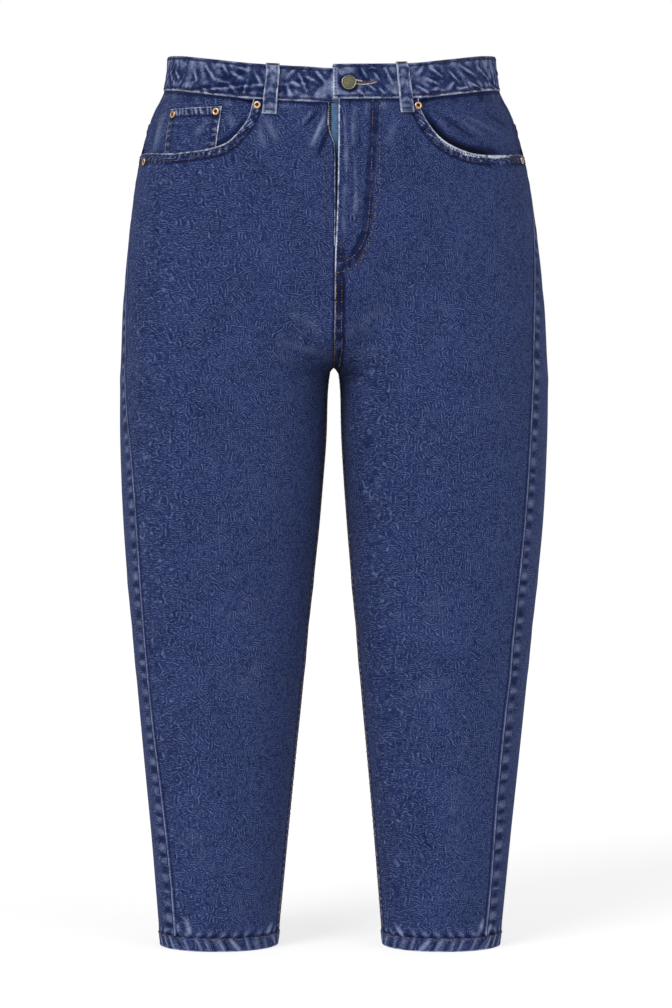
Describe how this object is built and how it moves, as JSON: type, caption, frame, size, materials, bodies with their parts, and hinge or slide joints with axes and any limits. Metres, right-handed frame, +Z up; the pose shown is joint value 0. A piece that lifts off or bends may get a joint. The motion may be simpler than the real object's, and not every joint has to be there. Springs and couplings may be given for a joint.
{
  "type": "straight jeans, hollow, held at the waist",
  "caption": "High-rise five-pocket denim jeans filled out as if worn, with open waist and hems, belt loops, fly and button.",
  "frame": {"origin": "the middle of the waist at half the height of the waistband's side, where a wearer holds the garment up", "axes": "+Z up, front faces -Y, the wearer's left is +X"},
  "size_m": [0.4787, 0.3041, 1.0001],
  "materials": {
    "denim": "washed dark indigo twill",
    "zip_tape": "woven tape",
    "rivet_metal": "aged copper colour",
    "button_metal": "aged dull brass"
  },
  "bodies": {
    "root": {"front_panel_left": "denim", "front_panel_right": "denim", "back_panel_left": "denim", "back_panel_right": "denim", "yoke_left": "denim", "yoke_right": "denim", "waistband": "denim", "hem_left": "denim", "hem_right": "denim", "pocket_facing_left": "denim", "pocket_facing_right": "denim", "coin_pocket": "denim", "back_pocket_left": "denim", "back_pocket_right": "denim", "fly_shield": "denim", "belt_loop_front_left": "denim", "belt_loop_front_right": "denim", "belt_loop_back_left": "denim", "belt_loop_back_right": "denim", "belt_loop_back_middle": "denim", "zip_tape": "zip_tape", "rivet_waist_left": "rivet_metal", "rivet_waist_right": "rivet_metal", "rivet_side_left": "rivet_metal", "rivet_side_right": "rivet_metal", "rivet_coin_side": "rivet_metal", "rivet_coin_middle": "rivet_metal", "waist_button": "button_metal"}
  },
  "joints": []
}
